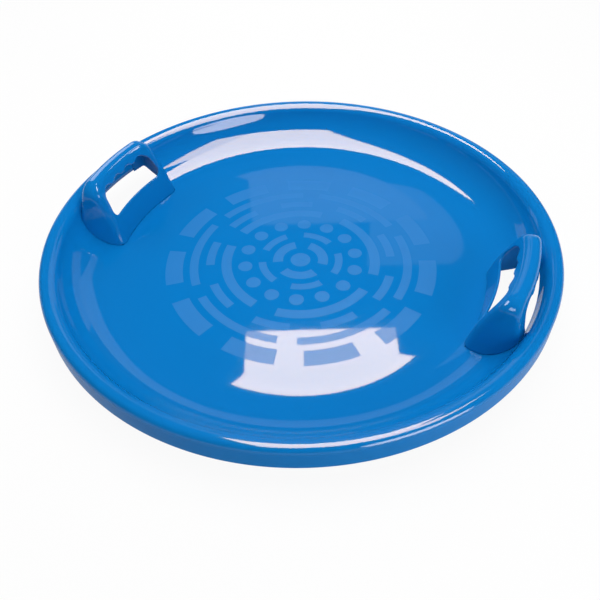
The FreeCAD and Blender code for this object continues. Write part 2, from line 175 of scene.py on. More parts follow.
@dataclass(frozen=True)
class DishSizes:
    """Sizes of the dish's section, measured from its axis and its underside."""

    rim_radius: float = 300.0
    rim_height: float = 56.0
    crown_radius: float = 14.0
    lip_radius: float = 6.0
    skirt_depth: float = 28.0
    wall_width: float = 115.0
    easing_radius: float = 260.0
    wall_radius: float = 55.0
    thickness: float = 3.0


@dataclass(frozen=True)
class HandleSizes:
    """Sizes of one handle, as its outer form, its collar and its hand opening."""

    foot_gap: float = 13.0
    foot_width: float = 63.0
    inner_lean: float = 7.0
    inner_curve: float = 206.0
    grip_width: float = 14.5
    inner_round_share: float = 0.83
    outer_round_share: float = 0.48
    nose_inset: float = 25.0
    nose_radius: float = 79.0
    end_lean: float = 12.0
    height: float = 84.0
    knee_radius: float = 20.0
    wall: float = 3.0
    collar_inset: float = 1.5
    clearance: float = 0.3
    grip_depth: float = 15.0
    opening_height: float = 30.0
    leg_width: float = 29.0
    opening_round: float = 9.0
    fingers: int = 4
    finger_pitch_share: float = 0.46
    finger_radius: float = 13.0
    finger_depth: float = 3.0
    reach_width: float = 30.0
    rib_thickness: float = 2.4
    rib_rise: float = 2.0
    edge_round: float = 1.4
    wave_round: float = 5.0


@dataclass(frozen=True)
class Rows:
    """How finely the dish's section is divided.

    Args:
        floor: Number of points across the floor.
        step: Longest step along a curve, in millimetres.
        turn: Largest turn at one step, in radians.
        hem: Number of points round the skirt's lower edge.
    """

    floor: int = 9
    step: float = 4.0
    turn: float = 0.05
    hem: int = 7


@dataclass(frozen=True)
class Bend:
    """One arc of the dish's middle line.

    Args:
        centre: Its centre, as radius and height.
        radius: Its own radius.
        side: 1 where the upper side faces away from the centre, and -1 where it faces the centre.
    """

    centre: Array
    radius: float
    side: int

    def sample(self, start: float, end: float, rows: Rows) -> Pair:
        """Return points along the arc, without its first one, and the upper side's normals.

        Args:
            start: Angle at which the arc starts, in radians.
            end: Angle at which it ends, in radians.
            rows: How finely it is divided.

        Returns:
            Rows of radius and height, and rows of the unit normal.
        """
        count = math.ceil(abs(end - start) * max(self.radius / rows.step, 1 / rows.turn)) + 1
        angles = np.linspace(start, end, count)[1:]
        arms = np.stack([np.cos(angles), np.sin(angles)], axis=1)
        return self.centre + self.radius * arms, self.side * arms


class DishLine:
    """The dish's middle line, half a thickness under its surface.

    The stretches are the floor, the easing curve, the wall, the crown, the lip and the skirt.
    """

    def __init__(self, sizes: DishSizes) -> None:
        """Work out the arcs.

        Args:
            sizes: The dish's driving sizes.
        """
        self.sizes = sizes
        self.half = sizes.thickness / 2
        self.floor = sizes.rim_radius - sizes.wall_width
        self.skirt = sizes.rim_radius - self.half
        self.hem_height = sizes.rim_height - sizes.skirt_depth + self.half
        self.crest = sizes.rim_radius - sizes.lip_radius
        ease = np.array([self.floor, sizes.thickness + sizes.easing_radius])
        crown = np.array([self.crest, sizes.rim_height - sizes.crown_radius])
        lip = np.array([self.crest, sizes.rim_height - sizes.lip_radius])
        # The wall's arc touches the easing curve from inside and the crown from outside.
        gap = crown - ease
        span = math.hypot(*gap)
        near, far = sizes.easing_radius - sizes.wall_radius, sizes.wall_radius + sizes.crown_radius
        along = (near**2 - far**2 + span**2) / (2 * span)
        aside = math.sqrt(near**2 - along**2)
        ahead = gap / span
        wall = ease + along * ahead + aside * np.array([ahead[1], -ahead[0]])
        self.ease = Bend(ease, sizes.easing_radius + self.half, -1)
        self.wall = Bend(wall, sizes.wall_radius + self.half, -1)
        self.crown = Bend(crown, sizes.crown_radius - self.half, 1)
        self.lip = Bend(lip, sizes.lip_radius - self.half, 1)

    def sample(self, rows: Rows) -> Pair:
        """Return points along the line and the upper side's normals.

        Args:
            rows: How finely the line is divided.

        Returns:
            Rows of radius and height, and rows of the unit normal.
        """
        upright = math.pi / 2
        floor = np.linspace((0.0, self.half), (self.floor, self.half), rows.floor)
        skirt = np.array([(self.skirt, self.lip.centre[1]), (self.skirt, self.hem_height)])
        to_wall = math.atan2(*(self.wall.centre - self.ease.centre)[::-1])
        to_crown = math.atan2(*(self.crown.centre - self.wall.centre)[::-1])
        stretches = (
            (floor, np.tile((0.0, 1.0), (rows.floor, 1))),
            self.ease.sample(-upright, to_wall, rows),
            self.wall.sample(to_wall, to_crown, rows),
            self.crown.sample(to_crown + math.pi, upright, rows),
            self.lip.sample(upright, 0.0, rows),
            (skirt, np.tile((1.0, 0.0), (len(skirt), 1))),
        )
        points, normals = zip(*stretches)
        return np.concatenate(points), np.concatenate(normals)

    def above(self, points: Array) -> Field:
        """Return heights over the line along its own normal.

        Args:
            points: Rows of x, y, z.

        Returns:
            A field that is zero on the middle line and positive on the upper side.
        """
        radius, outward = turned(points, 0.0)
        height = points[:, 2]
        spot = np.stack([radius, height], axis=1)

        def past(bend: Bend, following: Bend) -> Array:
            """Return which points lie past the ray from one arc's centre through the next one's."""
            ray, arm = following.centre - bend.centre, spot - bend.centre
            return ray[0] * arm[:, 1] - ray[1] * arm[:, 0] > 0

        value = height - self.half
        slope = np.tile((0.0, 1.0), (len(points), 1))
        reached = (
            (self.ease, radius > self.floor),
            (self.wall, (radius > self.floor) & past(self.ease, self.wall)),
            (self.crown, (radius > self.wall.centre[0]) & past(self.wall, self.crown)),
            (self.lip, radius > self.crest),
        )
        for bend, here in reached:
            reach, arm = spokes(spot - bend.centre)
            value = np.where(here, bend.side * (reach - bend.radius), value)
            slope = np.where(here[:, None], bend.side * arm, slope)
        hanging = (radius > self.crest) & (height < self.lip.centre[1])
        value = np.where(hanging, radius - self.skirt, value)
        slope = np.where(hanging[:, None], np.array([1.0, 0.0]), slope)
        hem = hanging & (height < self.hem_height)
        reach, arm = spokes(spot - (self.skirt, self.hem_height))
        return lifted(np.where(hem, reach, value), np.where(hem[:, None], arm, slope), outward)


class HandleShape:
    """The right handle as a signed distance; the left one is its mirror image."""

    def __init__(self, sizes: HandleSizes, dish: DishLine) -> None:
        """Work out the places that follow from the driving sizes.

        Args:
            sizes: The handle's driving sizes.
            dish: The dish that the handle stands on.
        """
        self.sizes, self.dish = sizes, dish
        self.foot_outer = dish.sizes.rim_radius - sizes.foot_gap
        self.foot_inner = self.foot_outer - sizes.foot_width
        self.nose_axis = self.foot_outer - sizes.nose_inset
        self.end_lean = math.radians(sizes.end_lean)
        curve, lean = sizes.inner_curve, math.radians(sizes.inner_lean)
        self.bulge = (self.foot_inner + curve * math.cos(lean), -curve * math.sin(lean))
        grip_inner = self.bulge[0] - math.sqrt(curve**2 - (sizes.height - self.bulge[1])**2)
        self.outer_lean = math.atan2(self.foot_outer - grip_inner - sizes.grip_width, sizes.height)
        self.underside = sizes.height - sizes.grip_depth
        self.sill = self.underside - sizes.opening_height
        self.half_length = sizes.nose_radius - sizes.leg_width
        self.pitch = self.half_length * sizes.finger_pitch_share

    def form(self, points: Array) -> Field:
        """Return the handle's outer form, endless below.

        Args:
            points: Rows of x, y, z.

        Returns:
            The solid form.
        """
        sizes = self.sizes
        radius, outward = turned(points, 0.0)
        reach, arm = spokes(np.stack([radius, points[:, 2]], axis=1) - self.bulge)
        inboard = lifted(reach - sizes.inner_curve, arm, outward)
        outboard = cone(points, 0.0, self.foot_outer, self.outer_lean)
        ends = cone(points, self.nose_axis, sizes.nose_radius, self.end_lean)
        arch = ends.meet(plane(points, UP, sizes.height), sizes.knee_radius)
        shaped = inboard.meet(arch, sizes.inner_round_share * sizes.grip_width)
        return shaped.meet(outboard, sizes.outer_round_share * sizes.grip_width)

    def opening(self, points: Array) -> Field:
        """Return the hand opening with its finger waves and its deep outboard part.

        Args:
            points: Rows of x, y, z.

        Returns:
            The space to cut out.
        """
        sizes = self.sizes
        middle = (self.sill + self.underside) / 2
        side = np.where(points[:, 1] < 0, -1.0, 1.0)
        along, tall = math.cos(self.end_lean), math.sin(self.end_lean)
        value = (np.abs(points[:, 1]) - self.half_length) * along + (points[:, 2] - middle) * tall
        slope = np.stack([0 * side, along * side, np.full_like(side, tall)], axis=1)
        space = Field(value, slope).meet(plane(points, UP, self.underside), sizes.opening_round)
        space = space.meet(plane(points, DOWN, -self.sill), sizes.opening_round)
        wave_height = self.underside + sizes.finger_depth - sizes.finger_radius
        for number in range(sizes.fingers):
            centre = (0.0, (number - (sizes.fingers - 1) / 2) * self.pitch, wave_height)
            reach, arm = spokes((points - centre) * (0.0, 1.0, 1.0))
            space = space.join(Field(reach - sizes.finger_radius, arm), sizes.wave_round)
        deep = plane(points, INBOARD, sizes.reach_width - self.foot_outer)
        deep = deep.meet(plane(points, UP, middle)).meet(slab(points[:, 1], self.half_length))
        return space.join(deep)

    def ribs(self, points: Array) -> Field:
        """Return the plates across the grip, one behind each land between two fingers.

        Args:
            points: Rows of x, y, z.

        Returns:
            The plates, without ends.
        """
        last = self.sizes.fingers - 2
        number = np.clip(np.round(points[:, 1] / self.pitch + last / 2), 0, last)
        across = points[:, 1] - (number - last / 2) * self.pitch
        plates = slab(across, self.sizes.rib_thickness / 2)
        return plates.meet(plane(points, DOWN, -(self.underside + self.sizes.rib_rise)))

    def solid(self, points: Array) -> Field:
        """Return the finished moulding.

        Args:
            points: Rows of x, y, z.

        Returns:
            The hollow handle with its collar, opening and ribs.
        """
        sizes = self.sizes
        form = self.form(points)
        height = self.dish.above(points)
        surface = height.inset(-self.dish.half)
        shell = form.less(form.inset(sizes.wall))
        seat = surface.inset(-sizes.clearance).less(form.inset(sizes.collar_inset))
        seated = shell.less(seat, sizes.edge_round / 2)
        flush = seated.less(height.inset(self.dish.half))
        opened = flush.less(self.opening(points), sizes.edge_round)
        return opened.join(self.ribs(points).meet(form.inset(sizes.wall / 2)), sizes.edge_round / 2)

    def collar_hole(self, points: Array) -> Field:
        """Return the space that the dish leaves open for the collar.

        Args:
            points: Rows of x, y, z.

        Returns:
            The cutter, closed above the rim and below the underside.
        """
        sizes = self.sizes
        hole = self.form(points).inset(sizes.collar_inset - sizes.clearance)
        hole = hole.meet(plane(points, UP, self.underside))
        return hole.meet(plane(points, DOWN, sizes.wall))

    def skin(self, part: Shape, pitch: Number) -> "Skin":
        """Mesh one of this handle's shapes.

        Args:
            part: One of the methods above.
            pitch: Mesh size.

        Returns:
            The skin.
        """
        # The inboard face is curved round the dish's axis, so its ends need more room than the other sides.
        room = 2 * self.sizes.wall
        reach = self.sizes.nose_radius + room
        low = np.array([self.foot_inner - 3 * room, -reach, -room])
        high = np.array([self.dish.sizes.rim_radius, reach, self.sizes.height + room])
        return Grid(part, low, high, pitch).skin()


# Meshing

# The corners of one grid cell, and the step along each axis
CORNERS = np.indices((2, 2, 2)).reshape(3, -1).T
STEPS = np.eye(3, dtype=int)


@dataclass
class Skin:
    """A mesh with normals.

    Args:
        points: Rows of x, y, z in millimetres.
        faces: The point numbers of each face.
        normals: One unit row per point.
    """

    points: Array
    faces: Union[Array, list[list[int]]]
    normals: Array

    def mirrored(self) -> "Skin":
        """Return the same skin on the other side of the YZ plane."""
        flip = np.array([-1.0, 1.0, 1.0])
        return Skin(self.points * flip, self.faces[:, ::-1], self.normals * flip)


@dataclass
class Grid:
    """A grid of cells, in which a shape is meshed.

    Args:
        shape: Gives the field at any points.
        low: Lowest corner of the grid.
        high: Corner that the grid reaches at least, clear of the shape.
        pitch: Size of a cell.
        block: Cells along one side of a block, which is measured at each corner or not at all.
        near: How far from the surface a block's middle may lie for that, in blocks.
        draws: How often the points are drawn towards the surface.
    """

    shape: Shape
    low: Array
    high: Array
    pitch: float
    block: int = 6
    near: float = 1.3
    draws: int = 3

    def distances(self) -> Array:
        """Measure the distance at each corner, exactly near the surface and roughly elsewhere.

        Returns:
            The distances.
        """
        size = self.block * self.pitch
        counts = np.ceil((self.high - self.low) / size).astype(int)
        middles = np.argwhere(np.ones(counts)) + 0.5
        grid = self.shape(self.low + middles * size).value.reshape(counts)
        for axis in range(3):
            grid = np.repeat(grid, self.block, axis)
        grid = np.pad(grid, ((0, 1), (0, 1), (0, 1)), mode="edge")
        close = np.argwhere(np.abs(grid) < self.near * size)
        grid[tuple(close.T)] = self.shape(self.low + close * self.pitch).value
        return grid

    def crossings(self, grid: Array, cells: Array) -> Array:
        """Find the middle of the places where the surface crosses the edges of each cell.

        Args:
            grid: Distances at the corners.
            cells: Rows of cell numbers, of the cells that the surface passes through.

        Returns:
            One place for each cell, in cells.
        """
        total, hits = np.zeros(cells.shape), np.zeros(len(cells))
        for axis, way in enumerate(STEPS):
            for start in CORNERS[CORNERS[:, axis] == 0]:
                first, last = grid[tuple((cells + start).T)], grid[tuple((cells + start + way).T)]
                crossed = (first < 0) != (last < 0)
                share = np.where(crossed, first / np.where(crossed, first - last, 1.0), 0.0)
                total += crossed[:, None] * (start + share[:, None] * way)
                hits += crossed
        return cells + total / hits[:, None]

    def faces(self, inside: Array, number: Array) -> Array:
        """Put one face round each grid edge that the surface crosses, with its front outside.

        Args:
            inside: Which corners lie inside the shape.
            number: Number of the point in each cell.

        Returns:
            Rows of four point numbers.
        """
        faces = []
        for axis in range(3):
            one, two = STEPS[axis - 2], STEPS[axis - 1]
            behind, ahead = np.delete(inside, -1, axis), np.delete(inside, 0, axis)
            edges = np.argwhere(ahead != behind)
            ring = (edges - one - two, edges - two, edges, edges - one)
            quads = np.stack([number[tuple(cell.T)] for cell in ring], axis=1)
            inward = ~behind[tuple(edges.T)]
            quads[inward] = quads[inward][:, ::-1]
            faces.append(quads)
        return np.concatenate(faces)

    def skin(self) -> Skin:
        """Mesh the shape with one point in every cell that its surface passes through.

        Returns:
            The shape's skin, with its points drawn onto the surface.
        """
        grid = self.distances()
        inside = grid < 0
        size = np.array(grid.shape) - 1
        tally = sum(inside[i:i + size[0], j:j + size[1], k:k + size[2]].astype(int) for i, j, k in CORNERS)
        cells = np.argwhere((tally > 0) & (tally < len(CORNERS)))
        number = np.full(size, -1)
        number[tuple(cells.T)] = np.arange(len(cells))
        points = self.low + self.crossings(grid, cells) * self.pitch
        for _ in range(self.draws):
            field = self.shape(points)
            shift = np.clip(field.value, -self.pitch / 2, self.pitch / 2)
            points = points - shift[:, None] * field.slope
        return Skin(points, self.faces(inside, number), spokes(self.shape(points).slope)[1])


def placed(name: str, data: bpy.types.ID) -> bpy.types.Object:
    """Put data in the scene.

    Args:
        name: Name of the object.
        data: A mesh, a lamp or a camera.

    Returns:
        The object.
    """
    item = bpy.data.objects.new(name, data)
    bpy.context.scene.collection.objects.link(item)
    return item


def mesh_object(name: str, skin: Skin) -> bpy.types.Object:
    """Make a smooth object from a skin.

    Args:
        name: Name of the object and its mesh.
        skin: The skin, in millimetres.

    Returns:
        The object, linked to the scene.
    """
    mesh = bpy.data.meshes.new(name)
    mesh.from_pydata((skin.points * MM).tolist(), [], [list(face) for face in skin.faces])
    mesh.shade_smooth()
    mesh.normals_split_custom_set_from_vertices(skin.normals.tolist())
    return placed(name, mesh)


# Shader nodes

@dataclass(frozen=True)
class Wire:
    """One output of a shader node, with arithmetic that adds Math nodes.

    Args:
        graph: The node graph that it belongs to.
        socket: The output.
    """

    graph: "Graph"
    socket: bpy.types.NodeSocket

    def beside(self, output: str) -> "Wire":
        """Return another output of the same node."""
        return Wire(self.graph, self.socket.node.outputs[output])

    def maths(self, operation: str, *inputs: "Value") -> "Wire":
        """Return the result of a Math node with an operation and its inputs in order."""
        return self.graph.node("ShaderNodeMath", {"operation": operation}, dict(enumerate(inputs)))

    def __add__(self, other: "Value") -> "Wire":
        """Return self + other."""
        return self.maths("ADD", self, other)

    def __sub__(self, other: "Value") -> "Wire":
        """Return self - other."""
        return self.maths("SUBTRACT", self, other)

    def __rsub__(self, other: "Value") -> "Wire":
        """Return other - self."""
        return self.maths("SUBTRACT", other, self)

    def __mul__(self, other: "Value") -> "Wire":
        """Return self * other."""
        return self.maths("MULTIPLY", self, other)

    __radd__ = __add__
    __rmul__ = __mul__

    def __abs__(self) -> "Wire":
        """Return the size of self without its sign."""
        return self.maths("ABSOLUTE", self)

    def root(self) -> "Wire":
        """Return the square root of self."""
        return self.maths("SQRT", self)

    def fraction(self) -> "Wire":
        """Return what is left above the whole number."""
        return self.maths("FRACT", self)

    def most(self, other: "Value") -> "Wire":
        """Return the larger of self and other."""
        return self.maths("MAXIMUM", self, other)

    def rise(self, low: Number, high: Number) -> "Wire":
        """Return a smooth step from 0 to 1.

        Args:
            low: Where the step is 0.
            high: Where it is 1; it may lie below low.

        Returns:
            The step.
        """
        inputs = {"Value": self, "From Min": min(low, high), "From Max": max(low, high),
                  "To Min": float(low > high), "To Max": float(low < high)}
        return self.graph.node("ShaderNodeMapRange", {"interpolation_type": "SMOOTHSTEP"}, inputs)


Value = Union[Wire, Number, tuple[float, ...]]


@dataclass(frozen=True)
class Grain:
    """Soft noise of one fineness.

    Args:
        amount: The most that it reaches.
        scale: Waves per metre.
        detail: Octaves.
    """

    amount: float
    scale: float
    detail: float = 2.0


class Graph:
    """The node graph of one material or world."""

    def __init__(self, owner: Union[bpy.types.Material, bpy.types.World]) -> None:
        """Give a material or a world an empty node tree.

        Args:
            owner: What the graph is for.
        """
        owner.use_nodes = True
        self.tree = owner.node_tree
        self.tree.nodes.clear()

    def node(self, kind: str, settings: Optional[dict] = None, inputs: Optional[dict] = None,
             output: Union[int, str] = 0) -> Wire:
        """Add a node.

        Args:
            kind: The node's type.
            settings: Properties that are set before the inputs.
            inputs: Values or wires by input name or number.
            output: Name or number of the output to return.

        Returns:
            The output, or the first input of a node that has no outputs.
        """
        made = self.tree.nodes.new(kind)
        for name, value in (settings or {}).items():
            setattr(made, name, value)
        for name, value in (inputs or {}).items():
            if isinstance(value, Wire):
                self.tree.links.new(value.socket, made.inputs[name])
            else:
                made.inputs[name].default_value = value
        return Wire(self, made.outputs[output] if made.outputs else made.inputs[0])

    def noise(self, place: Wire, grain: Grain) -> Wire:
        """Return soft noise between 0 and the grain's amount."""
        inputs = {"Vector": place, "Scale": grain.scale, "Detail": grain.detail}
        return grain.amount * self.node("ShaderNodeTexNoise", {"noise_dimensions": "3D"}, inputs)

    def mixed(self, factor: Wire, first: Wire, second: Wire) -> Wire:
        """Return two shaders mixed, all of the second where the factor is 1."""
        return self.node("ShaderNodeMixShader", None, dict(enumerate((factor, first, second))))

    def rays(self) -> tuple[Wire, Wire]:
        """Return 1 for rays from the camera, and 1 for rays that were mirrored or let through."""
        camera = self.node("ShaderNodeLightPath", output="Is Camera Ray")
        return camera, camera.beside("Is Glossy Ray").most(camera.beside("Is Transmission Ray"))


# Finishes

@dataclass(frozen=True)
class Ring:
    """A ring of matte arcs or dots on the floor.

    Args:
        inner: Inner radius, in metres.
        outer: Outer radius, in metres.
        count: Number of arcs or dots.
        phase: Turn of the first one, in steps.
        share: How much of each step an arc takes; round dots have none.
    """

    inner: float
    outer: float
    count: int
    phase: float
    share: Optional[float] = None


@dataclass(frozen=True)
class Marks:
    """The matte marks on the dish's floor: broken rings, dashes and dots. Lengths are in metres.

    Args:
        rough: Roughness of the marks.
        lift: How much paler they are.
        dulled: Share of the polish that they lack.
        stipple: Depth of their grain.
        edge: Width of the soft edge of a mark.
        heights: Heights between which they set in, so that the underside has none.
        rings: The marks.
    """

    rough: float = 0.40
    lift: float = 0.014
    dulled: float = 0.72
    stipple: Grain = Grain(0.00006, 1500.0, 1.0)
    edge: float = 0.0006
    heights: tuple[float, float] = (0.0015, 0.0028)
    rings: tuple[Ring, ...] = (
        Ring(0.0, 0.012, 1, 0.0, 1.0),
        Ring(0.022, 0.034, 3, 0.10, 0.70),
        Ring(0.043, 0.052, 5, 0.31, 0.62),
        Ring(0.0605, 0.0775, 14, 0.25),
        Ring(0.086, 0.098, 4, 0.04, 0.80),
        Ring(0.107, 0.117, 9, 0.60, 0.55),
        Ring(0.127, 0.137, 6, 0.22, 0.84),
        Ring(0.146, 0.1665, 11, 0.17, 0.66),
    )

    def pattern(self, radius: Wire, turn: Wire) -> Wire:
        """Return where the marks are, seen from above.

        Args:
            radius: Distance from the dish's axis, in metres.
            turn: Angle round it, in whole turns.

        Returns:
            1 on the marks and 0 elsewhere.
        """
        marks: Value = 0.0
        for ring in self.rings:
            middle, half = (ring.inner + ring.outer) / 2, (ring.outer - ring.inner) / 2
            step = math.tau / ring.count
            out = abs(radius - middle)
            around = abs((turn * ring.count + ring.phase).fraction() - 0.5) * radius * step
            if ring.share is None:
                mark = (around * around + out * out).root().rise(half + self.edge, half)
            else:
                past_end = around - ring.share / 2 * step * radius
                mark = out.rise(half + self.edge, half) * past_end.rise(self.edge, -self.edge)
            marks = mark.most(marks)
        return marks


@dataclass(frozen=True)
class Plastic:
    """Gloss moulded plastic. Lengths are in metres.

    Args:
        name: Name of the material.
        colour: Base colour, linear.
        marks: The marks on a dish's floor. A handle has none, and is polished where its mesh says so.
        gloss: Roughness under the polish.
        mirror: How strongly the bare plastic mirrors; 0.5 is plain glass.
        coat: Strength of the polish.
        coat_gloss: Roughness of the polish.
        wave: Depth of the slow unevenness of the moulding.
        peel: Depth of the fine unevenness.
        cloud: Slow changes of the brightness.
        cloud_rough: How much the roughness changes with the brightness.
        scuff: Noise that makes small worn spots.
        scuff_levels: Noise between which a worn spot sets in.
        scuff_rough: How much rougher a worn spot is.
        rough_side: How much rougher the skirt and the inside of the handles are.
        skirt_radii: Radii between which the skirt sets in.
        skirt_heights: Heights between which it sets in, from above.
    """

    name: str
    colour: Triple
    marks: Optional[Marks] = None
    gloss: float = 0.06
    mirror: float = 0.03
    coat: float = 0.5
    coat_gloss: float = 0.03
    wave: Grain = Grain(0.00012, 9.0, 1.0)
    peel: Grain = Grain(0.000006, 420.0)
    cloud: Grain = Grain(0.06, 6.0)
    cloud_rough: float = 1 / 3
    scuff: Grain = Grain(1.0, 900.0, 3.0)
    scuff_levels: tuple[float, float] = (0.62, 0.8)
    scuff_rough: float = 0.05
    rough_side: float = 0.25
    skirt_radii: tuple[float, float] = (0.2955, 0.2975)
    skirt_heights: tuple[float, float] = (0.0525, 0.0495)

    def material(self) -> bpy.types.Material:
        """Build the material.

        Returns:
            The material.
        """
        made = bpy.data.materials.new(self.name)
        graph = Graph(made)
        place = graph.node("ShaderNodeTexCoord", output="Object")
        cloud = graph.noise(place, self.cloud)
        scuff = graph.noise(place, self.scuff).rise(*self.scuff_levels)
        rough = self.gloss + self.cloud_rough * cloud + self.scuff_rough * scuff
        height = graph.noise(place, self.wave) + graph.noise(place, self.peel)
        colour: Value = (*self.colour, 1.0)
        if self.marks is None:
            polish = graph.node("ShaderNodeAttribute", {"attribute_name": POLISH}, output="Fac")
            rough = rough + self.rough_side * (1.0 - polish)
        else:
            across = graph.node("ShaderNodeSeparateXYZ", None, {"Vector": place})
            along, up = across.beside("Y"), across.beside("Z")
            radius = (across * across + along * along).root()
            turn = along.maths("ARCTAN2", along, across) * (1 / math.tau)
            matte = self.marks.pattern(radius, turn) * up.rise(*self.marks.heights)
            skirt = radius.rise(*self.skirt_radii) * up.rise(*self.skirt_heights)
            rough = rough + (self.marks.rough - self.gloss) * matte + self.rough_side * skirt
            height = height + graph.noise(place, self.marks.stipple) * matte
            polish = 1.0 - (self.marks.dulled * matte).most(skirt)
            pale = (*[channel + self.marks.lift for channel in self.colour], 1.0)
            mix = {MIX_FACTOR: matte, MIX_FIRST: colour, MIX_SECOND: pale}
            colour = graph.node("ShaderNodeMix", {"data_type": "RGBA"}, mix, MIX_RESULT)
        bright = 1.0 - self.cloud.amount / 2 + cloud
        shade = graph.node("ShaderNodeHueSaturation", None, {"Value": bright, "Color": colour})
        bump = graph.node("ShaderNodeBump", None, {"Strength": 1.0, "Distance": 1.0, "Height": height})
        skin = graph.node("ShaderNodeBsdfPrincipled", None, {
            "Base Color": shade, "Roughness": rough, "Normal": bump, "Specular IOR Level": self.mirror,
            "Coat Weight": self.coat * polish, "Coat Roughness": self.coat_gloss})
        graph.node("ShaderNodeOutputMaterial", None, {"Surface": skin})
        return made


# Studio

class Role(Enum):
    """What a lamp is for: it lights every surface, or the polish of some pieces mirrors it."""

    LIGHTS = "lights"
    IN_ALL = "mirrored in all"
    IN_DISH = "mirrored in the dish"
    IN_RIGHT = "mirrored in the right handle"
    IN_LEFT = "mirrored in the left handle"


class Panel(Enum):
    """Shape of a lamp's face."""

    SQUARE = "RECTANGLE"
    ROUND = "ELLIPSE"


@dataclass(frozen=True)
class Lamp:
    """A soft box, placed as the camera sees it: across, away and up, in metres.

    Args:
        name: The lamp's name.
        centre: Middle of its face.
        target: Where it points.
        size: Its width and length.
        radiance: How bright its face is; 1 is as bright as a lit white sheet.
        shape: Shape of its face.
        tint: Its colour.
    """

    name: str
    centre: Triple
    target: Triple
    size: tuple[float, float]
    radiance: float
    shape: Panel = Panel.SQUARE
    tint: Triple = (1.0, 1.0, 1.0)


AMBER = (1.0, 0.77, 0.47)
CREAM = (1.0, 0.94, 0.86)
MIDDLE = (0.0, 0.0, 0.0)
RIGHT_KNEE = (0.204, -0.156, 0.077)
LEFT_KNEE = (-0.245, 0.051, 0.075)
LAMPS = {
    Role.LIGHTS: (
        Lamp("overhead_light", (0.1, 0.2, 1.3), (0.1, 0.2, 0.0), (1.3, 1.3), 3.3),
        Lamp("key_light", (0.9, -1.2, 0.6), MIDDLE, (1.0, 1.0), 4.0),
        Lamp("left_light", (-1.6, 0.2, 0.9), MIDDLE, (1.2, 1.2), 1.9),
        Lamp("back_light", (0.0, 1.7, 0.9), MIDDLE, (1.2, 1.2), 2.6),
    ),
    Role.IN_DISH: (
        Lamp("box", (0.0575, 0.185, 0.95), (0.0575, 0.185, 0.0), (0.465, 1.05), 28.5, tint=AMBER),
        Lamp("box_wing", (0.42, -0.045, 0.95), (0.42, -0.045, 0.0), (0.26, 0.59), 23.0, tint=AMBER),
        Lamp("front_box", (0.885, -1.21, 0.3), (0.0, 0.0, 0.3), (1.05, 1.1), 16.5, Panel.ROUND, CREAM),
    ),
    Role.IN_RIGHT: (
        Lamp("right_dot", (-0.517, 0.219, 0.665), RIGHT_KNEE, (0.42, 0.42), 16.0, Panel.ROUND),
        Lamp("right_low_dot", (-0.347, -0.857, 0.531), RIGHT_KNEE, (0.3, 0.3), 10.0, Panel.ROUND),
    ),
    Role.IN_LEFT: (
        Lamp("left_dot", (0.458, 0.241, 0.769), LEFT_KNEE, (0.28, 0.28), 24.0, Panel.ROUND),
        Lamp("left_low_dot", (0.565, -0.242, 0.598), LEFT_KNEE, (0.26, 0.26), 11.0, Panel.ROUND),
        Lamp("left_line", (0.38, 0.57, 0.95), LEFT_KNEE, (0.14, 0.2), 11.0),
        Lamp("left_edge", (-0.62, 1.09, 0.77), LEFT_KNEE, (0.35, 0.3), 5.0),
    ),
    Role.IN_ALL: (
        Lamp("pale_sheet", (0.225, 1.5, 0.86), (0.225, 0.0, 0.86), (0.85, 0.62), 0.85),
        Lamp("pale_top", (0.55, 1.5, 1.3), (0.55, 0.0, 1.3), (0.5, 0.25), 0.6),
        Lamp("pale_corner", (0.75, 1.5, 0.45), (0.75, 0.0, 0.45), (1.0, 0.5), 0.6),
        Lamp("pale_side", (-1.3, 1.5, 0.4), (-1.3, 0.0, 0.4), (0.4, 0.8), 1.0),
    ),
}
WHITE = (1.0, 1.0, 1.0, 1.0)


def rotation(degrees: Number, axis: str) -> Matrix:
    """Return a turn about an axis."""
    return Matrix.Rotation(math.radians(degrees), 3, axis)


@dataclass(frozen=True)
class View:
    """How the camera sees the sled. Angles are in degrees.

    Args:
        bearing: Turn of the camera about the dish's axis.
        elevation: How steeply it looks down.
        distance: Distance from the pivot, in metres.
        pivot: Height of the point on the axis that it circles, in metres.
        roll: Its turn about its own line of sight.
        pan: Its turn to the side, off the pivot.
        tilt: Its turn up, off the pivot.
        lens: Focal length on the usual sensor, in millimetres.
    """

    bearing: float = 24.3
    elevation: float = 42.472
    distance: float = 0.77889
    pivot: float = 0.003
    roll: float = 1.515
    pan: float = -0.148
    tilt: float = 3.688
    lens: float = 37.4916


